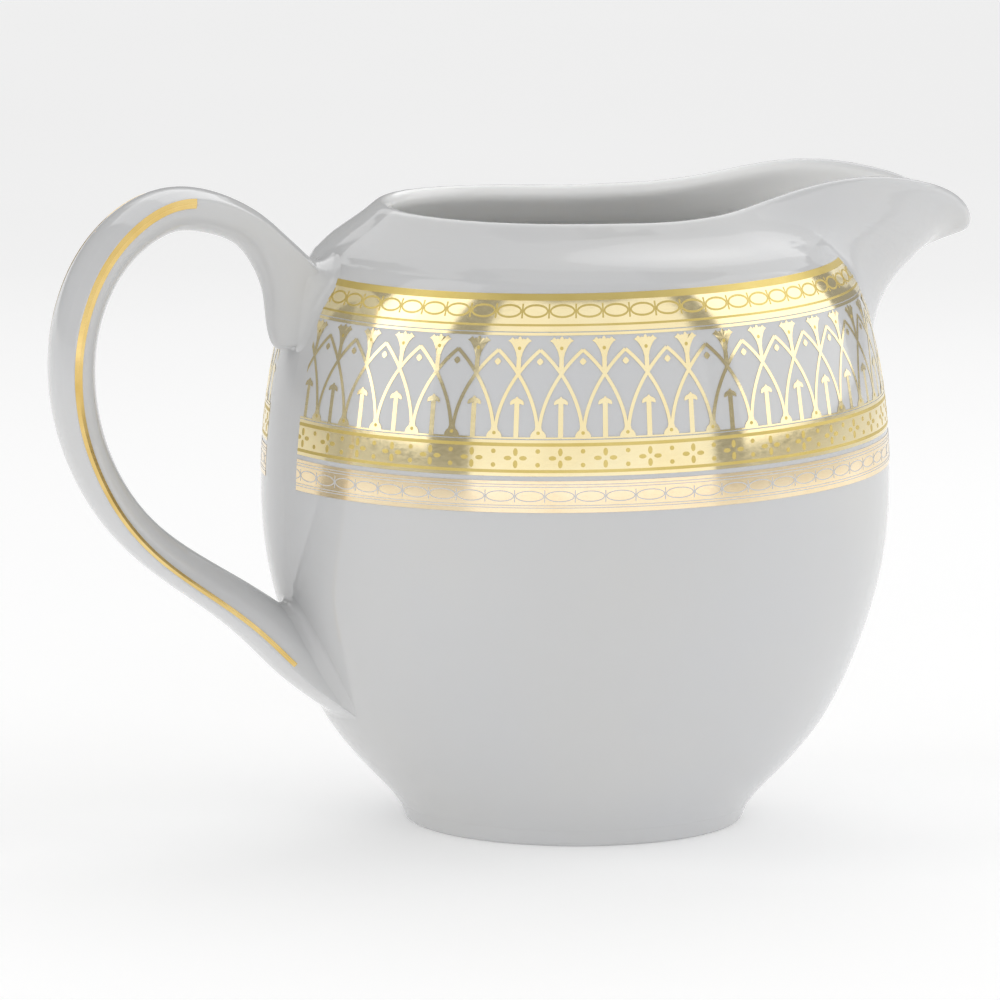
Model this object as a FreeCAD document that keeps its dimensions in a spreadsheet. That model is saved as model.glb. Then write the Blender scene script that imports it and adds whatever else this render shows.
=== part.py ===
import FreeCAD, Part
import math
import os
from FreeCAD import Vector

# Porcelain cream jug. The origin is the middle of the foot ring's resting face, +Z is up,
# +X points along the spout and the handle is on the -X side. The XZ plane is its plane of symmetry.

doc = FreeCAD.newDocument("cream_jug")
sheet = doc.addObject("Spreadsheet::Sheet", "sizes")

drivingSizes = {
    "wallThickness": 3.0,
    "floorHeight": 6.2,
    "footRadius": 25.5,
    "footInnerRadius": 22.4,
    "footFlare": 1.4,
    "footHeight": 3.4,
    "footEdgeRadius": 1.0,
    "floorDishRise": 1.7,
    "shoulderHeight": 86.0,
    "spoutRootHeight": 66.0,
    "spoutHalfAngle": 33.0,
    "bodyLean": -50.0,
    "startReach": 0.40,
    "endReach": 0.50,
    "tipLean": 76.0,
    "tipSpan": 24.0,
    "leanSpan": 40.0,
    "handleCrown": 1.0,
    "handleRidgeRadius": 0.7,
    "goldThickness": 0.1,
    "bandGapAngle": 8.7,
    "upperBandTop": 85.9,
    "upperBandBottom": 80.4,
    "friezeBottom": 65.0,
    "flowerBandBottom": 59.6,
    "lowerBandTop": 58.95,
    "lowerBandBottom": 54.3,
    "slantEndAngle": 8.0,
    "slantedBandStart": 4.0,
    "frontBandAngle": 0.0,
    "lineWidth": 1.4,
    "lineEndWidth": 0.6,
    "lineProud": 0.18,
    "lineSink": 0.35,
    "lineFirstMark": 0.333,
    "lineLastMark": 0.91,
}

for row, (name, value) in enumerate(drivingSizes.items(), start=1):
    sheet.set(f"A{row}", name)
    sheet.set(f"B{row}", str(value))
    sheet.setAlias(f"B{row}", name)
doc.recompute()


def size(name):
    return float(getattr(sheet, name))


# Half space that trims the slanted bands: how far it starts inside the body and how far it reaches.
trimDepth = 40
trimReach = 80

# Outside profile of the body, as height and radius, from the underside to the shoulder.
bodyProfile = [
    (2.6, 26.6), (4.5, 28.0), (7, 30.4), (10, 33.2), (15, 37.2), (22, 41.0), (30, 44.1),
    (40, 46.7), (51, 47.6), (60, 47.25), (68, 46.3), (75, 44.8), (80, 43.3), (84, 41.5),
    (86, 40.1), (88, 38.2), (90, 35.6), (91.8, 32.2),
]

# Middle line of the rounded lip for the +Y half: angle round the body, then X, Y, Z.
lipLine = [
    (0, 62.3, 0.0, 88.5), (8, 60.3, 5.0, 91.1), (16, 54.5, 9.0, 94.2), (24, 45.5, 11.7, 96.0),
    (32, 36.4, 13.4, 95.9), (40, 28.0, 15.0, 94.4), (48, 21.0, 18.0, 93.1), (56, 15.5, 21.2, 92.5),
    (66, 9.0, 23.6, 92.2), (80, 2.5, 24.9, 92.2), (95, -4.0, 25.4, 92.4), (115, -12.5, 24.6, 92.6),
    (135, -20.8, 20.6, 92.7), (158, -27.4, 11.2, 92.7), (180, -29.6, 0.0, 92.7),
]

# Handle: ridge line X, Z from the upper root round to the lower root, with the half width
# across Y and the depth of the rounded inner side at each place.
handleStations = [
    (-36.2, 73.6, 4.2, 7.8), (-36.9, 77.6, 4.6, 11.0), (-40.2, 83.0, 4.7, 11.2),
    (-44.0, 87.3, 4.9, 7.9), (-47.4, 90.4, 5.2, 5.7), (-51.2, 93.7, 5.6, 4.8),
    (-56.4, 96.4, 6.0, 5.2), (-62.2, 97.7, 6.3, 5.5), (-67.8, 96.6, 6.5, 5.5),
    (-73.3, 92.8, 6.6, 5.3), (-77.9, 86.7, 6.7, 5.0), (-80.7, 79.0, 6.8, 4.9),
    (-81.5, 71.5, 6.8, 5.0), (-80.7, 64.1, 6.8, 5.0), (-78.3, 56.8, 6.9, 4.9),
    (-74.2, 49.6, 6.9, 4.9), (-68.3, 43.2, 7.0, 5.0), (-61.0, 37.7, 7.1, 5.4),
    (-54.1, 32.5, 7.5, 6.3), (-48.6, 27.2, 8.3, 7.4), (-43.4, 22.4, 9.2, 8.4),
    (-36.0, 17.4, 10.0, 9.4),
]


def curveThrough(points, parameters):
    curve = Part.BSplineCurve()
    curve.interpolate(Points=points, Parameters=parameters)
    return curve


profileCurve = curveThrough([Vector(radius, 0, height) for height, radius in bodyProfile],
                            [height for height, radius in bodyProfile])

lipHalf = [(angle, Vector(x, y, z)) for angle, x, y, z in lipLine]
lipMirror = [(-angle, Vector(p.x, -p.y, p.z)) for angle, p in reversed(lipHalf[1:])]
lipCurve = curveThrough([p for angle, p in lipMirror + lipHalf], [angle for angle, p in lipMirror + lipHalf])


def smoothStep(value):
    value = min(max(value, 0.0), 1.0)
    return value * value * (3 - 2 * value)


def outward(angle):
    return Vector(math.cos(math.radians(angle)), math.sin(math.radians(angle)), 0)


def profilePoint(angle, height):
    return outward(angle) * profileCurve.value(height).x + Vector(0, 0, height)


def profileDirection(angle, height):
    point, slope = profileCurve.getD1(height)
    return (outward(angle) * slope.x + Vector(0, 0, slope.z)).normalize()


def bezier(points, step):
    back = 1 - step
    return (points[0] * back ** 3 + points[1] * (3 * back * back * step)
            + points[2] * (3 * back * step * step) + points[3] * step ** 3)


def lipFrame(angle):
    """Middle of the lip, the way the wall points there and the wall's outward normal."""
    middle, along = lipCurve.getD1(angle)
    out = Vector(along.y, -along.x, 0).normalize()
    tipSpan = size("tipSpan")
    tipShare = 1 - smoothStep(abs(angle) / tipSpan)
    bodyShare = smoothStep((abs(angle) - tipSpan * 0.7) / size("leanSpan"))
    lean = math.radians(size("tipLean") * tipShare + size("bodyLean") * bodyShare)
    wallWay = out * math.sin(lean) + Vector(0, 0, math.cos(lean))
    normal = out * math.cos(lean) - Vector(0, 0, math.sin(lean))
    return middle, wallWay, normal


# Heights of the rings below the spout's root, closer together near the foot, then the shares of
# the wall up to where the flare starts, and of the flare.
lowerHeights = [2.6, 4.2, 6, 8, 10.5, 13.5, 17] + list(range(21, 62, 4))
wallSteps = [step / 5 for step in range(1, 6)]
flareSteps = [step / 12 for step in range(1, 13)]
# Rows of the outside that the inside doesn't repeat, below the floor of the bowl.
rowsBelowFloor = 4
# The dished floor: radius, and its share of the dish's rise.
floorRings = [(26.0, 1.0), (21.0, 0.3), (15.0, 0.06), (8.0, 0.0)]


def outerMeridian(angle):
    """Points up the outside wall, from the underside to the lip, on one line round the body."""
    root = size("spoutRootHeight")
    start = root + (size("shoulderHeight") - root) * smoothStep(abs(angle) / size("spoutHalfAngle"))
    points = [profilePoint(angle, height) for height in lowerHeights]
    for share in wallSteps:
        points.append(profilePoint(angle, lowerHeights[-1] + (start - lowerHeights[-1]) * share))
    middle, wallWay, normal = lipFrame(angle)
    end = middle + normal * (size("wallThickness") / 2)
    span = (end - points[-1]).Length
    upright = 1 - smoothStep(abs(angle) / size("spoutHalfAngle"))
    startWay = profileDirection(angle, start) * (1 - upright) + Vector(0, 0, upright)
    poles = [points[-1], points[-1] + startWay * (span * size("startReach")),
             end - wallWay * (span * size("endReach")), end]
    return points + [bezier(poles, step) for step in flareSteps]


ringAngles = list(range(-180, 180, 4))


def surfaceNormals(grid):
    """Outward unit normals of a ring of upright lines."""
    normals = []
    for column, line in enumerate(grid):
        before = grid[column - 1]
        after = grid[(column + 1) % len(grid)]
        directions = []
        for row in range(len(line)):
            low = line[max(row - 1, 0)]
            high = line[min(row + 1, len(line) - 1)]
            directions.append((after[row] - before[row]).cross(high - low).normalize())
        normals.append(directions)
    return normals


def skinRings():
    """Rings that climb the outside, turn over the lip and go down the inside to the floor."""
    wall = size("wallThickness")
    outer = [outerMeridian(angle) for angle in ringAngles]
    normals = surfaceNormals(outer)
    grid = []
    for angle, line, normalLine in zip(ringAngles, outer, normals):
        middle, wallWay, normal = lipFrame(angle)
        cap = []
        for turn in (45, 90, 135):
            swing = math.radians(turn)
            cap.append(middle + (normal * math.cos(swing) + wallWay * math.sin(swing)) * (wall / 2))
        inner = [middle - normal * (wall / 2)]
        for row in range(len(line) - 2, rowsBelowFloor, -1):
            inner.append(line[row] - normalLine[row] * wall)
        bottom = [outward(angle) * radius + Vector(0, 0, size("floorHeight") + size("floorDishRise") * share)
                  for radius, share in floorRings]
        grid.append(line + cap + inner + bottom)
    return list(zip(*grid))


def sharpened(points, closed):
    """Pulls each point outward a little, so that a smooth surface shaped by the points runs through them."""
    last = len(points) - 1
    result = []
    for number, point in enumerate(points):
        if not closed and number in (0, last):
            result.append(point)
            continue
        before = points[number - 1]
        after = points[(number + 1) % len(points)]
        result.append(point - (before - point * 2 + after) / 6)
    return result


def closedFromGrid(rings):
    """A solid whose smooth skin follows a stack of closed rings, with a flat face at each end."""
    columns = [sharpened(list(column), False) for column in zip(*rings)]
    poles = [sharpened(list(ring), True) for ring in zip(*columns)]
    stackCount = len(poles)
    ringCount = len(poles[0])
    surface = Part.BSplineSurface()
    surface.buildFromPolesMultsKnots(poles, [4] + [1] * (stackCount - 4) + [4], [1] * (ringCount + 1),
                                     list(range(stackCount - 2)), list(range(ringCount + 1)),
                                     False, True, 3, 3)
    skin = surface.toShape()
    ends = [Part.Face(Part.Wire([edge])) for edge in skin.Edges if edge.isClosed()]
    shell = Part.Compound([skin] + ends)
    shell.sewShape()
    solid = Part.Solid(shell.Shells[0])
    if solid.Volume < 0:
        solid.reverse()
    return solid


def makeSkin():
    feature = doc.addObject("Part::Feature", "body_skin")
    feature.Shape = closedFromGrid(skinRings())
    return feature


def makeCore():
    """The body's round outside as one solid block, used to fit the handle's roots to it."""
    heights = [height for height, radius in bodyProfile]
    edge = profileCurve.toShape(heights[0], heights[-1])
    top = Vector(0, 0, heights[-1])
    bottom = Vector(0, 0, heights[0])
    loop = [edge, Part.makeLine(edge.Vertexes[-1].Point, top), Part.makeLine(top, bottom),
            Part.makeLine(bottom, edge.Vertexes[0].Point)]
    face = Part.Face(Part.Wire(Part.__sortEdges__(loop)))
    feature = doc.addObject("Part::Feature", "body_core")
    feature.Shape = face.revolve(Vector(0, 0, 0), Vector(0, 0, 1), 360)
    return feature


def makeJugBody():
    outerCone = doc.addObject("Part::Cone", "foot_outside")
    outerCone.setExpression("Radius1", "sizes.footRadius")
    outerCone.setExpression("Radius2", "sizes.footRadius + sizes.footFlare")
    outerCone.setExpression("Height", "sizes.footHeight")
    innerCone = doc.addObject("Part::Cone", "foot_inside")
    innerCone.setExpression("Radius1", "sizes.footInnerRadius")
    innerCone.setExpression("Radius2", "sizes.footInnerRadius - sizes.footFlare")
    innerCone.setExpression("Height", "sizes.footHeight")
    ring = doc.addObject("Part::Cut", "foot_ring")
    ring.Base = outerCone
    ring.Tool = innerCone
    doc.recompute()
    rounded = doc.addObject("Part::Fillet", "foot_ring_rounded")
    rounded.Base = ring
    radius = size("footEdgeRadius")
    rounded.Edges = [(number, radius, radius) for number, edge in enumerate(ring.Shape.Edges, start=1)
                     if edge.BoundBox.ZMax < 0.01]
    body = doc.addObject("Part::Fuse", "jug_body")
    body.Base = makeSkin()
    body.Tool = rounded
    body.Label = "jug_body"
    return body


ridgeCount = len(handleStations)
handleMarks = [station / (ridgeCount - 1) for station in range(ridgeCount)]
ridgeCurve = curveThrough([Vector(x, 0, z) for x, z, width, depth in handleStations], handleMarks)
girthCurve = curveThrough([Vector(width, depth, mark * 100) for mark, (x, z, width, depth)
                           in zip(handleMarks, handleStations)], handleMarks)


def handleFrame(mark):
    """Ridge point, outward normal in the XZ plane, half width and depth at a mark along the handle."""
    point, along = ridgeCurve.getD1(mark)
    normal = Vector(along.z, 0, -along.x).normalize()
    girth = girthCurve.value(mark)
    return point, normal, girth.x, girth.y


def handleSection(mark):
    """Closed outline: a slightly crowned outer face, two narrow ridges and a rounded inner side."""
    point, normal, width, depth = handleFrame(mark)
    crown = size("handleCrown")
    ridge = size("handleRidgeRadius")
    outline = []
    for share in (-0.8, -0.55, -0.28, 0, 0.28, 0.55, 0.8):
        outline.append((share * (width - ridge), crown * (1 - share * share)))
    outline.append((width - ridge * 0.55, -ridge * 0.05))
    outline.append((width, -ridge * 0.75))
    for turn in range(20, 161, 10):
        swing = math.radians(turn)
        outline.append((width * math.cos(swing), -ridge - (depth - ridge) * math.sin(swing)))
    outline.append((-width, -ridge * 0.75))
    outline.append((-width + ridge * 0.55, -ridge * 0.05))
    return [point + Vector(0, side, 0) + normal * rise for side, rise in outline]


def makeHandle(core):
    blank = doc.addObject("Part::Feature", "handle_blank")
    blank.Shape = closedFromGrid([handleSection(mark) for mark in handleMarks])
    handle = doc.addObject("Part::Cut", "handle")
    handle.Base = blank
    handle.Tool = core
    handle.Label = "handle"
    return handle


def spoutSideBlock(side):
    """Half space behind the slanting line where the upper gold stops beside the spout."""
    high = profilePoint(side * size("spoutHalfAngle"), size("shoulderHeight"))
    low = profilePoint(side * size("slantEndAngle"), size("friezeBottom"))
    across = (high + low) * 0.5
    outwards = Vector(across.x, across.y, 0).normalize()
    along = (high - low).normalize() * trimReach
    near = across - outwards * trimDepth
    far = across + outwards * trimReach
    corners = [near - along, near + along, far + along, far - along]
    face = Part.Face(Part.makePolygon(corners + corners[:1]))
    behind = profilePoint(side * 90, size("upperBandBottom"))
    return face.makeHalfSpace(behind)


def bandSolid(bottom, top, startAngle, endAngle):
    """A thin layer that lies on the body's round outside between two heights."""
    thick = size("goldThickness")
    count = 6
    heights = [bottom + (top - bottom) * step / count for step in range(count + 1)]
    inner = []
    outer = []
    for height in heights:
        point = profilePoint(0, height)
        way = profileDirection(0, height)
        normal = Vector(way.z, 0, -way.x)
        inner.append(point)
        outer.append(point + normal * thick)
    innerEdge = curveThrough(inner, heights).toShape()
    outerEdge = curveThrough(outer, heights).toShape()
    loop = [innerEdge, Part.makeLine(inner[-1], outer[-1]), outerEdge, Part.makeLine(outer[0], inner[0])]
    face = Part.Face(Part.Wire(Part.__sortEdges__(loop)))
    face.rotate(Vector(0, 0, 0), Vector(0, 0, 1), startAngle)
    return face.revolve(Vector(0, 0, 0), Vector(0, 0, 1), endAngle - startAngle)


def makeBand(name, bottom, top, side, slanted):
    """One half of a gold band: side 1 is the +Y half and side -1 the -Y half."""
    far = 180 - size("bandGapAngle")
    near = size("slantedBandStart") if slanted else size("frontBandAngle")
    start, end = sorted((side * near, side * far))
    solid = bandSolid(bottom, top, start, end)
    if slanted:
        solid = solid.common(spoutSideBlock(side)).Solids[0]
    feature = doc.addObject("Part::Feature", name)
    feature.Shape = solid
    feature.Label = name
    return feature


# The gold line's cross-section wraps the ridge: from the ridge's outer corner, sideways and along
# the outward normal, with the way that each point faces.
lineOutline = [((-0.14, -0.14), (0.80, 0.60)), ((0.0, -0.80), (1.0, 0.05)), ((-0.20, -1.48), (0.98, -0.20))]
lineSteps = 24


def lineSection(mark, side, broadness):
    """Closed outline of the gold line: three points above the ridge and the same three sunk into it."""
    point, normal, width, depth = handleFrame(mark)
    corner = point + Vector(0, side * width, 0)
    sideways = Vector(0, side, 0)
    (middleSide, middleRise), middleFacing = lineOutline[1]
    sink = (sideways * middleFacing[0] + normal * middleFacing[1]) * size("lineSink")
    outer = []
    inner = []
    for (along, rise), (faceSide, faceUp) in lineOutline:
        place = corner + sideways * (middleSide + (along - middleSide) * broadness)
        place = place + normal * (middleRise + (rise - middleRise) * broadness)
        outer.append(place + (sideways * faceSide + normal * faceUp) * size("lineProud"))
        inner.append(place - sink)
    return outer + inner[::-1]


def makeHandleLine(name, side, body):
    """A thin gold line that follows one ridge of the handle and narrows to its lower end."""
    sections = []
    for step in range(lineSteps + 1):
        share = step / lineSteps
        mark = size("lineFirstMark") + (size("lineLastMark") - size("lineFirstMark")) * share
        narrowing = 1 - size("lineEndWidth") / size("lineWidth")
        corners = lineSection(mark, side, 1 - narrowing * smoothStep(share))
        sections.append(Part.makePolygon(corners + corners[:1]))
    bar = doc.addObject("Part::Feature", name + "_bar")
    bar.Shape = Part.makeLoft(sections, True, False)
    line = doc.addObject("Part::Cut", name)
    line.Base = bar
    line.Tool = body
    line.Label = name
    return line


core = makeCore()
jugBody = makeJugBody()
doc.recompute()
handle = makeHandle(core)
doc.recompute()
subParts = [jugBody, handle]
bandLevels = [
    ("upper_gold_band", "upperBandBottom", "upperBandTop", True),
    ("arcade_frieze", "friezeBottom", "upperBandBottom", True),
    ("flower_band", "flowerBandBottom", "friezeBottom", False),
    ("lower_gold_band", "lowerBandBottom", "lowerBandTop", False),
]
for sideName, side in (("left", 1), ("right", -1)):
    for name, bottom, top, slanted in bandLevels:
        subParts.append(makeBand(f"{name}_{sideName}", size(bottom), size(top), side, slanted))
    subParts.append(makeHandleLine(f"handle_line_{sideName}", side, handle))
doc.recompute()

for item in doc.Objects:
    if "Invalid" in item.State or "Error" in item.State:
        raise RuntimeError(f"{item.Name} failed: {item.State}")
os.makedirs("parts", exist_ok=True)
for item in subParts:
    shape = item.Shape
    if shape.isNull() or not shape.isValid():
        raise RuntimeError(f"{item.Label} has no valid shape")
    box = shape.BoundBox
    print(item.Label, "solids", len(shape.Solids), "volume", round(shape.Volume, 1),
          "box", [round(v, 1) for v in (box.XMin, box.XMax, box.YMin, box.YMax, box.ZMin, box.ZMax)])
    shape.exportStep(f"parts/{item.Label}.step")
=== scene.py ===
import math

import bmesh
import bpy
import numpy as np
from mathutils import Matrix, Vector
from mathutils.bvhtree import BVHTree


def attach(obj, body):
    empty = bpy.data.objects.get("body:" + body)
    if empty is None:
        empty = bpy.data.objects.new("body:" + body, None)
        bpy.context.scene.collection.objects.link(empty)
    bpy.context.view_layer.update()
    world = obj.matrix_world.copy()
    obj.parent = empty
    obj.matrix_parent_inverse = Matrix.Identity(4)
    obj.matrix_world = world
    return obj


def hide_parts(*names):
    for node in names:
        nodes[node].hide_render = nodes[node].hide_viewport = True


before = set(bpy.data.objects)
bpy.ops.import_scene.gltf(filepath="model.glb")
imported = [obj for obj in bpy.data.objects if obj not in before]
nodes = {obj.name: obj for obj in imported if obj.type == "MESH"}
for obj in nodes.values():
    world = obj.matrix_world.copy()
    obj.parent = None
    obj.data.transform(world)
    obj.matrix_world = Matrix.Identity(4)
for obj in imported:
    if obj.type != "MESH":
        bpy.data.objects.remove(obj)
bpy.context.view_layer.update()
mm = 0.001
print("frame loaded,", len(nodes), "nodes")


def startMaterial(name, settings):
    material = bpy.data.materials.new(name)
    material.use_nodes = True
    shader = material.node_tree.nodes["Principled BSDF"]
    for socket, value in settings.items():
        shader.inputs[socket].default_value = value
    return material, material.node_tree, shader


# noise in the object's own space, features about 1 / scale metres
def noiseNode(tree, scale, detail, stretch=(1, 1, 1)):
    place = tree.nodes.new("ShaderNodeTexCoord")
    mapping = tree.nodes.new("ShaderNodeMapping")
    mapping.inputs["Scale"].default_value = stretch
    noise = tree.nodes.new("ShaderNodeTexNoise")
    noise.inputs["Scale"].default_value = scale
    noise.inputs["Detail"].default_value = detail
    tree.links.new(place.outputs["Object"], mapping.inputs["Vector"])
    tree.links.new(mapping.outputs["Vector"], noise.inputs["Vector"])
    return noise


noiseMiddle = (0.3, 0.7)


# the noise's middle range stretched from low to high
def spread(tree, noise, low, high):
    ramp = tree.nodes.new("ShaderNodeMapRange")
    ramp.inputs["From Min"].default_value, ramp.inputs["From Max"].default_value = noiseMiddle
    ramp.inputs["To Min"].default_value, ramp.inputs["To Max"].default_value = low, high
    tree.links.new(noise.outputs["Fac"], ramp.inputs["Value"])
    return ramp.outputs["Result"]


def tint(tree, noise, first, second):
    mix = tree.nodes.new("ShaderNodeMix")
    mix.data_type = "RGBA"
    mix.inputs["A"].default_value = (*first, 1)
    mix.inputs["B"].default_value = (*second, 1)
    tree.links.new(spread(tree, noise, 0, 1), mix.inputs["Factor"])
    return mix.outputs["Result"]


def bump(tree, noise, depth):
    node = tree.nodes.new("ShaderNodeBump")
    node.inputs["Strength"].default_value = 1.0
    node.inputs["Distance"].default_value = depth
    tree.links.new(noise.outputs["Fac"], node.inputs["Height"])
    return node.outputs["Normal"]


glazeLook = {
    # inside: painted light, a far whiter colour on the surfaces facing the axis that stands in for light falling
    # into the jug
    "warm": (0.628, 0.628, 0.622), "cool": (0.614, 0.620, 0.631), "inside": (0.95, 0.95, 0.94),
    "toneScale": 26.0, "waveScale": 95.0, "waveDepth": 0.012 * mm, "gloss": (0.045, 0.075),
    "bareFoot": (0.35 * mm, 0.56 * mm), "bareRoughness": 0.55,    # unglazed up to, glazed from, extra roughness
    "refraction": 1.52, "softness": 4 * mm, "softTint": (1.0, 0.9, 0.8),
    "insideFrom": -0.5,      # how squarely a surface faces the axis to count as inside
}


# one where the surface faces the jug's axis, nought where it faces away; the mask for the painted light inside the
# jug
def facesAxis(tree, place):
    level = tree.nodes.new("ShaderNodeVectorMath")
    level.operation = "MULTIPLY"
    level.inputs[1].default_value = (1, 1, 0)
    outwards = tree.nodes.new("ShaderNodeVectorMath")
    outwards.operation = "NORMALIZE"
    facing = tree.nodes.new("ShaderNodeVectorMath")
    facing.operation = "DOT_PRODUCT"
    inner = tree.nodes.new("ShaderNodeMapRange")
    inner.inputs["From Min"].default_value = 0.0
    inner.inputs["From Max"].default_value = glazeLook["insideFrom"]
    tree.links.new(place.outputs["Object"], level.inputs[0])
    tree.links.new(level.outputs["Vector"], outwards.inputs[0])
    tree.links.new(outwards.outputs["Vector"], facing.inputs[0])
    tree.links.new(place.outputs["Normal"], facing.inputs[1])
    tree.links.new(facing.outputs["Value"], inner.inputs["Value"])
    return inner.outputs["Result"]


def makeGlaze(name, translucency, paintInsideLight=False):
    look = glazeLook
    material, tree, shader = startMaterial(name, {
        "IOR": look["refraction"], "Subsurface Weight": translucency,
        "Subsurface Scale": look["softness"], "Subsurface Radius": look["softTint"],
    })
    tone = noiseNode(tree, look["toneScale"], 3)
    wave = noiseNode(tree, look["waveScale"], 2)
    place = tree.nodes.new("ShaderNodeTexCoord")
    colour = tint(tree, tone, look["warm"], look["cool"])
    # painted light: surfaces facing the axis take the far whiter inside colour, so the jug's interior looks more
    # brightly lit
    if paintInsideLight:
        mix = tree.nodes.new("ShaderNodeMix")
        mix.data_type = "RGBA"
        mix.inputs["B"].default_value = (*look["inside"], 1)
        tree.links.new(facesAxis(tree, place), mix.inputs["Factor"])
        tree.links.new(colour, mix.inputs["A"])
        colour = mix.outputs["Result"]
    tree.links.new(colour, shader.inputs["Base Color"])
    tree.links.new(bump(tree, wave, look["waveDepth"]), shader.inputs["Normal"])
    # the ring that stands on the table is left bare of glaze
    parts = tree.nodes.new("ShaderNodeSeparateXYZ")
    bare = tree.nodes.new("ShaderNodeMapRange")
    bare.inputs["From Min"].default_value, bare.inputs["From Max"].default_value = look["bareFoot"]
    bare.inputs["To Min"].default_value = look["bareRoughness"]
    bare.inputs["To Max"].default_value = 0.0
    total = tree.nodes.new("ShaderNodeMath")
    total.operation = "ADD"
    tree.links.new(place.outputs["Object"], parts.inputs["Vector"])
    tree.links.new(parts.outputs["Z"], bare.inputs["Value"])
    tree.links.new(bare.outputs["Result"], total.inputs[0])
    tree.links.new(spread(tree, tone, *look["gloss"]), total.inputs[1])
    tree.links.new(total.outputs["Value"], shader.inputs["Roughness"])
    return material


metalClouds = 120.0          # slow changes of tone across the gold
metalLooks = {
    "burnishedGold": {"pale": (1.000, 0.880, 0.560), "deep": (0.980, 0.830, 0.480),
                      "gloss": (0.09, 0.15), "grain": 900.0, "depth": 0.0006 * mm},
    "etchedGold": {"pale": (0.760, 0.610, 0.230), "deep": (0.680, 0.530, 0.170),
                   "gloss": (0.36, 0.48), "grain": 2400.0, "depth": 0.004 * mm},
    "roseGold": {"pale": (0.990, 0.830, 0.580), "deep": (0.950, 0.770, 0.500),
                 "gloss": (0.12, 0.20), "grain": 900.0, "depth": 0.0006 * mm},
    "handleGold": {"pale": (0.900, 0.680, 0.290), "deep": (0.700, 0.480, 0.150),
                   "gloss": (0.08, 0.15), "grain": 700.0, "depth": 0.002 * mm},
}


def makeMetal(name):
    look = metalLooks[name]
    material, tree, shader = startMaterial(name, {"Metallic": 1.0})
    cloud = noiseNode(tree, metalClouds, 3)
    grain = noiseNode(tree, look["grain"], 2, (1, 1, 2.5))
    tree.links.new(tint(tree, cloud, look["pale"], look["deep"]), shader.inputs["Base Color"])
    tree.links.new(spread(tree, grain, *look["gloss"]), shader.inputs["Roughness"])
    tree.links.new(bump(tree, grain, look["depth"]), shader.inputs["Normal"])
    return material


translucency = 0.10
# the body's glaze, with light painted on its inside
glaze = makeGlaze("porcelainGlaze", translucency, paintInsideLight=True)
handleGlaze = makeGlaze("handleGlaze", translucency)
slipGlaze = makeGlaze("slipGlaze", 0)        # opaque, since a thin bead would darken along its edges
lineGlaze = makeGlaze("bareGlazeLine", 0)
metals = {name: makeMetal(name) for name in metalLooks}
for name, material in [("jug_body", glaze), ("handle", handleGlaze),
                       ("handle_line_left", metals["handleGold"]),
                       ("handle_line_right", metals["handleGold"])]:
    nodes[name].data.materials[0] = material
print("materials made")


# the part of the body that is read, in mm and degrees, and the degrees of the two fitted curves
roundZone = {"low": 53.5, "high": 86.5, "fromAngle": 60, "toAngle": 120, "roughDegree": 3, "degree": 9}


# fits radius against height, both in mm, to the side of the body away from spout and handle
def readBodyCurve():
    points = np.array([vertex.co for vertex in nodes["jug_body"].data.vertices]) / mm
    around = np.degrees(np.arctan2(np.abs(points[:, 1]), points[:, 0]))
    radius = np.hypot(points[:, 0], points[:, 1])
    zone = roundZone
    keep = (around > zone["fromAngle"]) & (around < zone["toAngle"])
    keep &= (points[:, 2] > zone["low"]) & (points[:, 2] < zone["high"])
    height, radius = points[keep, 2], radius[keep]
    between = np.poly1d(np.polyfit(height, radius, zone["roughDegree"]))
    outer = radius > between(height)
    centre = (zone["low"] + zone["high"]) / 2
    return np.poly1d(np.polyfit(height[outer] - centre, radius[outer], zone["degree"])), centre


bodyCurve, bodyMiddle = readBodyCurve()
bodySlope = bodyCurve.deriv()
bodyTree = BVHTree.FromPolygons([v.co for v in nodes["jug_body"].data.vertices],
                                [p.vertices for p in nodes["jug_body"].data.polygons])


# a point lift mm above the body's round outside, at an angle in degrees and a height in mm
def onBody(angle, height, lift):
    turn = math.radians(angle)
    height += ornament["tilt"] * (ornament["radius"] * math.cos(turn) - ornament["levelAt"])
    radius = float(bodyCurve(height - bodyMiddle))
    slope = float(bodySlope(height - bodyMiddle))
    length = math.hypot(1, slope)
    radius += lift / length
    height -= lift * slope / length
    point = Vector((radius * math.cos(turn), radius * math.sin(turn), height)) * mm
    # beside the spout the body swells past its round shape, and the print lies over the swelling
    spot, normal = bodyTree.find_nearest(point)[:2]
    sunk = (lift - ornament["slack"]) * mm - (point - spot).dot(normal)
    return point + normal * max(0.0, sunk)


# The gold is drawn flat and wrapped on the body. Everything is drawn on the +Y half,
# in mm along the band and mm up, and mirrored for the other half.

ornament = {
    "repeat": 8.08,          # degrees from one arch to the next
    "chainShare": 1.5,       # links to one arch
    "radius": 46.0,          # where a mm along the band is a true mm
    "lastAngle": 171.3,      # the print stops this side of the handle
    "upperEnd": (30.0, 86.0, 7.0, 65.0),   # slanting end beside the spout: angle, height twice
    "tilt": 0.019, "levelAt": -4.7,        # the print rises gently towards the spout
    "slack": 0.025,          # how far the round shape may stray from the body
    "stripRow": 0.7, "dotSides": 12,       # height of a strip's rows, points round a dot
    "crispAngle": 40,        # degrees between faces from which an edge stays crisp
    "cutMargin": 0.0001,     # mm
    # the gold's thickness, and how far each layer's face stands off the body, in mm
    "thickness": 0.035, "base": 0.045, "line": 0.055, "column": 0.057, "cross": 0.060, "flower": 0.066,
    "petal": 0.070, "detail": 0.075, "above": 0.079,
}


def startSheet():
    return {"points": [], "faces": [], "slots": []}


def addFaces(sheet, points, faces, slot):
    first = len(sheet["points"])
    sheet["points"] += points
    sheet["faces"] += [[first + index for index in face] for face in faces]
    sheet["slots"] += [slot] * len(faces)


def wrap(centre, along, height, lift):
    return onBody(centre + math.degrees(along / ornament["radius"]), height, lift)


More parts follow.
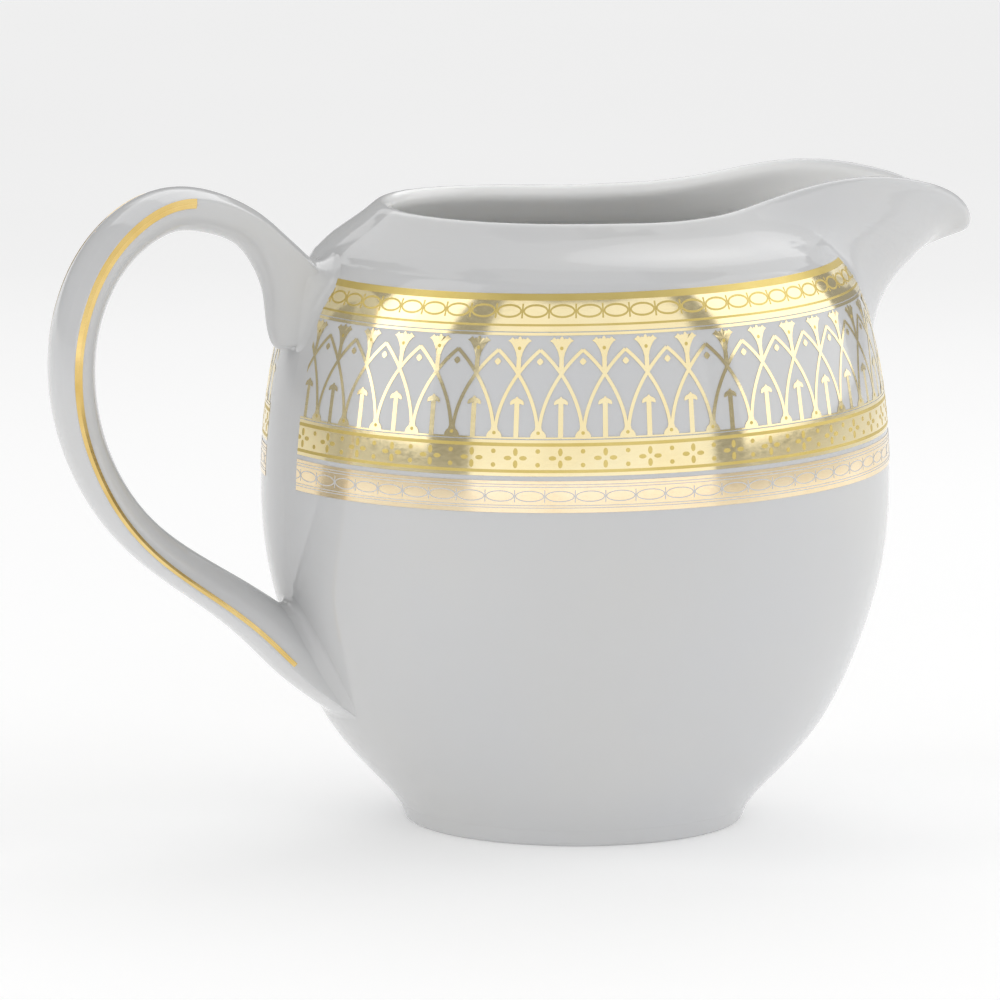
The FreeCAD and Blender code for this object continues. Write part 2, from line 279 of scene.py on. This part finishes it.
# a plain strip from one height to another, with a column to each degree
def addStrip(sheet, bottom, top, start, end, lift, slot):
    columns = int(end - start)
    rows = max(1, round((top - bottom) / ornament["stripRow"]))
    points = [onBody(start + (end - start) * column / columns, bottom + (top - bottom) * row / rows, lift)
              for column in range(columns + 1) for row in range(rows + 1)]
    step = rows + 1
    corners = [column * step + row for column in range(columns) for row in range(rows)]
    quads = [[corner, corner + step, corner + step + 1, corner + 1] for corner in corners]
    addFaces(sheet, points, quads, slot)


# a line of one width along a path
def addRibbon(sheet, centre, path, width, lift, slot, closed=False):
    count = len(path)
    points = []
    for index, (along, height) in enumerate(path):
        before = path[index - 1] if (index or closed) else path[0]
        after = path[(index + 1) % count] if (index < count - 1 or closed) else path[-1]
        dx, dz = after[0] - before[0], after[1] - before[1]
        length = math.hypot(dx, dz) or 1
        sx, sz = -dz / length * width / 2, dx / length * width / 2
        points.append(wrap(centre, along - sx, height - sz, lift))
        points.append(wrap(centre, along + sx, height + sz, lift))
    last = count if closed else count - 1
    faces = [[2 * i, 2 * ((i + 1) % count), 2 * ((i + 1) % count) + 1, 2 * i + 1] for i in range(last)]
    addFaces(sheet, points, faces, slot)


# a filled outline, listed anticlockwise, as a fan about its middle
def addShape(sheet, centre, outline, middle, lift, slot):
    count = len(outline)
    points = [wrap(centre, *middle, lift)] + [wrap(centre, along, height, lift) for along, height in outline]
    faces = [[0, 1 + i, 1 + (i + 1) % count] for i in range(count)]
    addFaces(sheet, points, faces, slot)


# closes a right-hand outline, listed from the bottom up, with its left-hand copy
def mirrored(half):
    return half + [(-along, height) for along, height in reversed(half) if along > 0]


def oval(along, height, halfWide, halfHigh, count):
    turns = [2 * math.pi * index / count for index in range(count)]
    return [(along + halfWide * math.cos(turn), height + halfHigh * math.sin(turn)) for turn in turns]


def bezier(a, b, c, d, count):
    path = []
    for index in range(count + 1):
        t = index / count
        s = 1 - t
        weights = (s ** 3, 3 * s * s * t, 3 * s * t * t, t ** 3)
        path.append(tuple(sum(w * p[axis] for w, p in zip(weights, (a, b, c, d))) for axis in (0, 1)))
    return path


# a row of linked ovals with a small upright bar at each join
def addChain(sheet, chain, start, end, slot):
    pitch = ornament["repeat"] / ornament["chainShare"]
    for index in range(int(start / pitch) - 1, int(end / pitch) + 2):
        centre = index * pitch
        if start - pitch / 2 < centre < end + pitch / 2:
            ring = oval(0, chain["height"], chain["halfWide"], chain["halfHigh"], chain["sides"])
            addRibbon(sheet, centre, ring, chain["line"], ornament["detail"], slot, closed=True)
            bar = [(0, chain["height"] - chain["bar"] / 2), (0, chain["height"] + chain["bar"] / 2)]
            addRibbon(sheet, centre + pitch / 2, bar, chain["line"], ornament["above"], slot)


# cuts the drawing at its ends, gives it thickness and makes the left and right pieces
def finishSheet(sheet, name, replaced, materials, slantEnd=False):
    mesh = bmesh.new()
    vertices = [mesh.verts.new(point) for point in sheet["points"]]
    for face, slot in zip(sheet["faces"], sheet["slots"]):
        made = mesh.faces.new([vertices[index] for index in face])
        made.material_index = slot
        made.smooth = True

    def cut(point, normal):
        everything = mesh.verts[:] + mesh.edges[:] + mesh.faces[:]
        bmesh.ops.bisect_plane(mesh, geom=everything, dist=ornament["cutMargin"] * mm,
                               plane_co=point, plane_no=normal, clear_outer=True)

    last = math.radians(ornament["lastAngle"])
    cut(Vector((0, 0, 0)), Vector((-math.sin(last), math.cos(last), 0)))
    if slantEnd:
        highAngle, high, lowAngle, low = ornament["upperEnd"]
        top, foot = onBody(highAngle, high, 0), onBody(lowAngle, low, 0)
        middle = (top + foot) / 2
        outwards = Vector((middle.x, middle.y, 0)).normalized()
        normal = (top - foot).cross(outwards)
        if normal.y > 0:
            normal = -normal
        cut(middle, normal)
    else:
        cut(Vector((0, 0, 0)), Vector((0, -1, 0)))
    for side, sign in (("Left", 1), ("Right", -1)):
        data = bpy.data.meshes.new(name + side)
        copy = mesh.copy()
        if sign < 0:
            bmesh.ops.scale(copy, vec=(1, -1, 1), verts=copy.verts[:])
            bmesh.ops.reverse_faces(copy, faces=copy.faces[:])
        copy.to_mesh(data)
        copy.free()
        for material in materials:
            data.materials.append(material)
        piece = bpy.data.objects.new(name + side, data)
        bpy.context.scene.collection.objects.link(piece)
        solid = piece.modifiers.new("thickness", "SOLIDIFY")
        solid.thickness = ornament["thickness"] * mm
        solid.offset = -1
        split = piece.modifiers.new("crispEdges", "EDGE_SPLIT")
        split.split_angle = math.radians(ornament["crispAngle"])
        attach(piece, "root")
        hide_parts(replaced + "_" + side.lower())
    mesh.free()
    print(name, "made,", len(sheet["faces"]), "faces a side")


firstAngle, lastAngle = 5, ornament["lastAngle"] + 2    # drawn a little too long, then cut
archCount = int(lastAngle / ornament["repeat"]) + 2
goldAndEtching = [metals["burnishedGold"], metals["etchedGold"]]

# the upper band: burnished gold with an etched edge strip, a line and a chain of ovals
upperBand = {
    "bottom": 80.45, "top": 85.7, "strip": (84.75, 85.68), "lineBelow": (81.2, 81.5),
    "chain": {"height": 83.3, "halfWide": 1.92, "halfHigh": 0.82, "line": 0.27, "bar": 2.0,
              "sides": 28},
}
sheet = startSheet()
addStrip(sheet, upperBand["bottom"], upperBand["top"], firstAngle, lastAngle, ornament["base"], 0)
addStrip(sheet, *upperBand["strip"], firstAngle, lastAngle, ornament["detail"], 1)
addStrip(sheet, *upperBand["lineBelow"], firstAngle, lastAngle, ornament["detail"], 1)
addChain(sheet, upperBand["chain"], firstAngle, lastAngle, 1)
finishSheet(sheet, "upperBand", "upper_gold_band", goldAndEtching, slantEnd=True)

# the arcade: crossing arches with a flower on each crossing, a column under it and a foot between
arcade = {
    "topLine": (79.9, 80.3), "bottomLine": (65.1, 65.35),
    "arch": ((-3.24, 77.85), (0.2, 75.1), (2.9, 70.6), (3.1, 66.3)), "archWidth": 0.52, "archSteps": 20,
    "flower": [(0.42, 76.9), (0.50, 77.4), (0.78, 78.0), (1.08, 78.5), (1.42, 78.9), (1.85, 79.15),
               (1.50, 79.35), (1.18, 79.65), (0.84, 79.36), (0.56, 79.5), (0.34, 79.36), (0.18, 79.66), (0, 79.8)],
    "flowerMiddle": (0, 78.5), "flowerStem": ((0, 74.6), (0, 77.0)), "stemWidth": 0.70,
    "column": ((0, 65.2), (0, 70.3)), "columnWidth": 0.74,
    "cap": [(0, 70.2), (0.45, 70.16), (0.98, 69.98), (1.05, 70.2), (0.96, 70.5), (0.72, 70.74), (0.4, 70.88),
            (0.2, 70.98), (0.13, 71.14), (0, 71.2)],
    "capMiddle": (0, 70.4),
    "foot": [(0, 65.2), (1.18, 65.2), (1.1, 65.7), (0.86, 66.1), (0.56, 66.35), (0.46, 66.8), (0, 66.9)],
    "footMiddle": (0, 65.8), "gem": (76.2, 0.52, 0.6), "dot": 0.27, "flowerDot": 78.1, "footDot": 65.95,
}
sheet = startSheet()
addStrip(sheet, *arcade["topLine"], firstAngle, lastAngle, ornament["line"], 0)
addStrip(sheet, *arcade["bottomLine"], firstAngle, lastAngle, ornament["line"], 0)
leaningRight = bezier(*arcade["arch"], arcade["archSteps"])
leaningLeft = [(-along, height) for along, height in reversed(leaningRight)]
gemHeight, gemHalf, bulge = arcade["gem"]
gem = [(gemHalf * x, gemHeight + gemHalf * z) for x, z in
       [(0, -1), (bulge, -bulge), (1, 0), (bulge, bulge), (0, 1), (-bulge, bulge), (-1, 0), (-bulge, -bulge)]]


def addDot(sheet, centre, height, radius):
    dot = oval(0, height, radius, radius, ornament["dotSides"])
    addShape(sheet, centre, dot, (0, height), ornament["detail"], 1)


for index in range(archCount):
    centre = index * ornament["repeat"]
    between = centre + ornament["repeat"] / 2
    addRibbon(sheet, centre, leaningRight, arcade["archWidth"], ornament["line"], 0)
    addRibbon(sheet, centre, leaningLeft, arcade["archWidth"], ornament["cross"], 0)
    addRibbon(sheet, centre, arcade["flowerStem"], arcade["stemWidth"], ornament["flower"], 0)
    addShape(sheet, centre, mirrored(arcade["flower"]), arcade["flowerMiddle"], ornament["petal"], 0)
    addRibbon(sheet, centre, arcade["column"], arcade["columnWidth"], ornament["column"], 0)
    addShape(sheet, centre, mirrored(arcade["cap"]), arcade["capMiddle"], ornament["flower"], 0)
    addShape(sheet, between, mirrored(arcade["foot"]), arcade["footMiddle"], ornament["flower"], 0)
    addShape(sheet, between, gem, (0, gemHeight), ornament["line"], 0)
    addDot(sheet, centre, arcade["flowerDot"], arcade["dot"])
    addDot(sheet, between, arcade["footDot"], arcade["dot"])
finishSheet(sheet, "arcade", "arcade_frieze", goldAndEtching, slantEnd=True)

# the flower band: burnished gold with two etched lines, four-petal flowers and pairs of dots
flowerBand = {
    "bottom": 59.65, "top": 64.95, "lines": [(64.0, 64.5), (60.15, 60.6)], "height": 62.3,
    "petals": [(1.12, 0, 0.55, 0.33), (-1.12, 0, 0.55, 0.33), (0, 0.88, 0.33, 0.58), (0, -0.88, 0.33, 0.58)],
    "petalSides": 14, "dots": (1.0, 0.34),
}
sheet = startSheet()
addStrip(sheet, flowerBand["bottom"], flowerBand["top"], 0, lastAngle, ornament["base"], 0)
for bottom, top in flowerBand["lines"]:
    addStrip(sheet, bottom, top, 0, lastAngle, ornament["detail"], 1)
for index in range(archCount):
    centre = index * ornament["repeat"]
    for along, up, halfWide, halfHigh in flowerBand["petals"]:
        height = flowerBand["height"] + up
        petal = oval(along, height, halfWide, halfHigh, flowerBand["petalSides"])
        addShape(sheet, centre, petal, (along, height), ornament["detail"], 1)
    for sign in (1, -1):
        offset, radius = flowerBand["dots"]
        addDot(sheet, centre + ornament["repeat"] / 2, flowerBand["height"] + sign * offset, radius)
finishSheet(sheet, "flowerBand", "flower_band", goldAndEtching)

# the lower band: rose gold with fine lines and a chain left bare
lowerBand = {
    "bottom": 54.3, "top": 58.95, "lines": [(58.38, 58.5), (58.0, 58.12), (55.3, 55.42), (54.95, 55.07)],
    "chain": {"height": 56.72, "halfWide": 2.02, "halfHigh": 0.76, "line": 0.15, "bar": 1.8,
              "sides": 28},
}
sheet = startSheet()
addStrip(sheet, lowerBand["bottom"], lowerBand["top"], 0, lastAngle, ornament["base"], 0)
for bottom, top in lowerBand["lines"]:
    addStrip(sheet, bottom, top, 0, lastAngle, ornament["detail"], 1)
addChain(sheet, lowerBand["chain"], 0, lastAngle, 1)
finishSheet(sheet, "lowerBand", "lower_gold_band", [metals["roseGold"], lineGlaze])


# the slip that rounds the joints between body and handle: a closed bead with a hollow face,
# laid along each line where the handle's sides meet the body
jointSlip = {
    "Upper": {"onBody": (1.5, 4.0), "onHandle": (1.0, 4.0)},   # reach in mm, at the joint's bottom and top
    "Lower": {"onBody": (1.0, 2.8), "onHandle": (0.9, 3.4)},
    "points": 160, "rows": 8, "smoothing": 4, "pull": 0.6, "crispAngle": 60, "digits": 6,
    "sunk": 0.02, "backDepth": 0.6,        # mm that the face's edges and the bead's back lie inside the clay
    "near": 0.25, "against": -0.7,         # a face of the handle this near the body, facing it, is seat
    "beside": 0.5,                         # mm off the body where the handle's side is read
}


# the outlines of the handle's two seats on the body, upper first, and the rest of its surface
def rootLoops():
    mesh = nodes["handle"].data
    key = {}                 # the first vertex at each place, since the mesh may list a place twice
    same = [key.setdefault(tuple(round(c, jointSlip["digits"]) for c in v.co), v.index) for v in mesh.vertices]
    seat, sides = [], []
    for polygon in mesh.polygons:
        spot, normal, number, distance = bodyTree.find_nearest(polygon.center)
        seated = distance < jointSlip["near"] * mm and normal.dot(polygon.normal) < jointSlip["against"]
        (seat if seated else sides).append(polygon)
    uses = {}
    for polygon in seat:
        corners = [same[index] for index in polygon.vertices]
        for first, second in zip(corners, corners[1:] + corners[:1]):
            uses.setdefault(frozenset((first, second)), []).append((first, second))
    follow = {pairs[0][0]: pairs[0][1] for pairs in uses.values() if len(pairs) == 1}
    loops = []
    while follow:
        start, place = follow.popitem()
        loop = [start]
        while place != start and place in follow:
            loop.append(place)
            place = follow.pop(place)
        loops.append([mesh.vertices[index].co.copy() for index in loop])
    sideTree = BVHTree.FromPolygons([v.co for v in mesh.vertices], [p.vertices for p in sides])
    loops = sorted(loops, key=len)[-2:]
    return sorted(loops, key=lambda loop: -max(p.z for p in loop)), sideTree


# evenly spaced points round a closed loop, gently smoothed
def evened(loop, count):
    ends = [0]
    for first, second in zip(loop, loop[1:] + loop[:1]):
        ends.append(ends[-1] + (second - first).length)
    closed = loop + loop[:1]
    points, segment = [], 0
    for step in range(count):
        goal = ends[-1] * step / count
        while ends[segment + 1] < goal:
            segment += 1
        share = (goal - ends[segment]) / max(ends[segment + 1] - ends[segment], 1e-9)
        points.append(closed[segment].lerp(closed[segment + 1], share))
    for turn in range(jointSlip["smoothing"]):
        points = [(points[i - 1] + points[i] * 2 + points[(i + 1) % count]) / 4 for i in range(count)]
    return points


# the way from a point towards a goal, kept in the plane across a normal
def wayAlong(point, goal, normal):
    way = goal - point
    return (way - normal * way.dot(normal)).normalized()


def makeSlip(name, loop, sideTree):
    look, reach = jointSlip, jointSlip[name]
    points = evened(loop, look["points"])
    count, rows, sunk = len(points), look["rows"], look["sunk"] * mm
    middle = sum(points, Vector()) / count
    low, high = min(p.z for p in points), max(p.z for p in points)
    bodyEnds, bodyPulls, handleEnds, handlePulls, inside = [], [], [], [], []
    for index, point in enumerate(points):
        along = (points[(index + 1) % count] - points[index - 1]).normalized()
        share = (point.z - low) / (high - low)
        bodyReach, handleReach = [(bottom * (1 - share) + top * share) * mm
                                  for bottom, top in (reach["onBody"], reach["onHandle"])]
        spot, bodyNormal = bodyTree.find_nearest(point)[:2]
        bodyWay = along.cross(bodyNormal)
        bodyWay *= math.copysign(1, bodyWay.dot(point - middle))
        spot, sideNormal = sideTree.find_nearest(point + bodyNormal * look["beside"] * mm)[:2]
        handleWay = along.cross(sideNormal)
        handleWay *= math.copysign(1, handleWay.dot(bodyNormal))
        bodyEnd, bodyNormal = bodyTree.find_nearest(point + bodyWay * bodyReach)[:2]
        handleEnd, handleNormal = sideTree.find_nearest(point + handleWay * handleReach)[:2]
        bodyEnds.append(bodyEnd - bodyNormal * sunk)
        handleEnds.append(handleEnd - handleNormal * sunk)
        bodyPulls.append(wayAlong(bodyEnd, point, bodyNormal) * bodyReach * look["pull"])
        handlePulls.append(wayAlong(handleEnd, point, handleNormal) * handleReach * look["pull"])
        inside.append(point - (bodyNormal + bodyWay).normalized() * look["backDepth"] * mm)
    for turn in range(look["smoothing"]):
        for row in (bodyEnds, handleEnds, bodyPulls, handlePulls):
            row[:] = [(row[i - 1] + row[i] * 2 + row[(i + 1) % count]) / 4 for i in range(count)]
    vertices, faces = [], []
    for index in range(count):
        for row in range(rows + 1):
            t = row / rows
            s = 1 - t
            vertices.append(bodyEnds[index] * (s ** 3 + 3 * s * s * t) + bodyPulls[index] * 3 * s * s * t
                            + handleEnds[index] * (t ** 3 + 3 * s * t * t) + handlePulls[index] * 3 * s * t * t)
        vertices.append(inside[index])
    ring = rows + 2
    for index in range(count):
        first, second = index * ring, (index + 1) % count * ring
        for row in range(ring):
            nextRow = (row + 1) % ring
            faces.append((first + row, second + row, second + nextRow, first + nextRow))
    data = bpy.data.meshes.new("jointSlip" + name)
    data.from_pydata(vertices, [], faces)
    mesh = bmesh.new()
    mesh.from_mesh(data)
    bmesh.ops.recalc_face_normals(mesh, faces=mesh.faces[:])
    for face in mesh.faces:
        face.smooth = True
    mesh.to_mesh(data)
    mesh.free()
    data.materials.append(slipGlaze)
    piece = bpy.data.objects.new("jointSlip" + name, data)
    bpy.context.scene.collection.objects.link(piece)
    split = piece.modifiers.new("crispEdges", "EDGE_SPLIT")
    split.split_angle = math.radians(look["crispAngle"])
    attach(piece, "root")


(upperLoop, lowerLoop), sideTree = rootLoops()
makeSlip("Upper", upperLoop, sideTree)
makeSlip("Lower", lowerLoop, sideTree)
print("joint slip made,", len(upperLoop), "and", len(lowerLoop), "points read")

camera = {
    "azimuth": -20.0, "elevation": 8.9, "distance": 1.364, "lens": 324.0, "sensor": 36.0, "near": 0.05,
    "aimLeft": 11.36 * mm, "aimHeight": 48.5 * mm, "roll": 0.2,
}
azimuth, elevation = math.radians(camera["azimuth"]), math.radians(camera["elevation"])
level = math.cos(elevation)
towards = Vector((math.sin(azimuth) * level, -math.cos(azimuth) * level, math.sin(elevation)))
left = Vector((-math.cos(azimuth), -math.sin(azimuth), 0))
aim = left * camera["aimLeft"] + Vector((0, 0, camera["aimHeight"]))
cameraData = bpy.data.cameras.new("camera")
cameraData.lens = camera["lens"]
cameraData.sensor_width = camera["sensor"]
cameraData.clip_start = camera["near"]
cameraObject = bpy.data.objects.new("camera", cameraData)
bpy.context.scene.collection.objects.link(cameraObject)
cameraObject.location = aim + towards * camera["distance"]
turned = (-towards).to_track_quat("-Z", "Y").to_matrix().to_4x4()
cameraObject.rotation_mode = "QUATERNION"
rolled = turned @ Matrix.Rotation(math.radians(camera["roll"]), 4, "Z")
cameraObject.rotation_quaternion = rolled.to_quaternion()
bpy.context.scene.camera = cameraObject

studio = {
    "floorSize": 60.0, "floorColour": (0.86, 0.86, 0.86), "floorFleck": 0.99, "fleckScale": 6,
    "floorGlow": 0.23,
    "floorDrop": 0.02 * mm,  # keeps the foot ring off the paper
    "worldLight": 0.34, "power": 4,          # lamp power for each square metre at brightness one
    "panelDistance": 0.72,
    # each panel: from and to angle seen from above, 0 towards the camera, bottom and top, and brightness
    "panels": [(-92, -73, 0.08, 1.15, 1.05), (-73, -54, 0.08, 1.15, 0.85), (-38, -12, 0.005, 0.98, 0.49),
               (-12, 18, 0.005, 0.98, 0.46), (18, 50, 0.005, 0.98, 0.49), (62, 90, 0.08, 1.15, 0.80),
               (90, 126, 0.08, 1.15, 0.85), (150, 205, 0.30, 1.1, 0.40)],
    "overhead": (1.3, 0.7, 0.3),             # height, size and brightness
    "background": (2.4, 1.8, 3.6, 0.6),      # distance behind, height, size and brightness
}

floorMesh = bpy.data.meshes.new("floor")
half = studio["floorSize"] / 2
floorCorners = [(-half, -half, 0), (half, -half, 0), (half, half, 0), (-half, half, 0)]
floorMesh.from_pydata(floorCorners, [], [(0, 1, 2, 3)])
floor = bpy.data.objects.new("floor", floorMesh)
bpy.context.scene.collection.objects.link(floor)
floor.location.z = -studio["floorDrop"]
paper, paperTree, paperShader = startMaterial("paperFloor", {
    "Roughness": 0.8, "Specular IOR Level": 0.2,
    "Emission Color": (1, 1, 1, 1), "Emission Strength": studio["floorGlow"],
})
fleck = tuple(value * studio["floorFleck"] for value in studio["floorColour"])
paperColour = tint(paperTree, noiseNode(paperTree, studio["fleckScale"], 2), studio["floorColour"], fleck)
paperTree.links.new(paperColour, paperShader.inputs["Base Color"])
floorMesh.materials.append(paper)

world = bpy.data.worlds.new("studio")
bpy.context.scene.world = world
world.use_nodes = True
background = world.node_tree.nodes["Background"]
background.inputs["Color"].default_value = (1.0, 1.0, 1.0, 1)
background.inputs["Strength"].default_value = studio["worldLight"]


def addLight(name, place, target, wide, high, brightness):
    data = bpy.data.lights.new(name, "AREA")
    data.shape = "RECTANGLE"
    data.size, data.size_y = wide, high
    data.energy = brightness * studio["power"] * wide * high
    light = bpy.data.objects.new(name, data)
    bpy.context.scene.collection.objects.link(light)
    light.location = place
    light.rotation_mode = "QUATERNION"
    light.rotation_quaternion = (target - place).to_track_quat("-Z", "Y")
    light.visible_camera = False


for index, (start, end, low, high, brightness) in enumerate(studio["panels"]):
    turn = math.radians((start + end) / 2) + azimuth
    distance = studio["panelDistance"] * math.cos(math.radians((end - start) / 2))
    wide = 2 * studio["panelDistance"] * math.sin(math.radians((end - start) / 2))
    middle = Vector((0, 0, (low + high) / 2))
    place = middle + Vector((math.sin(turn) * distance, -math.cos(turn) * distance, 0))
    addLight(f"panel{index}", place, middle, wide, high - low, brightness)
nudge = Vector((0, 0.0001, 0))               # a lamp aimed dead straight down has no sideways
height, size, brightness = studio["overhead"]
addLight("overhead", Vector((0, 0, height)), nudge, size, size, brightness)

distance, height, size, brightness = studio["background"]
behind = Vector((-towards.x, -towards.y, 0)).normalized() * distance
addLight("background", behind + Vector((0, 0, height)), behind + nudge, size, size, brightness)

bpy.context.scene.view_settings.view_transform = "Standard"
print("floor, light and camera made")
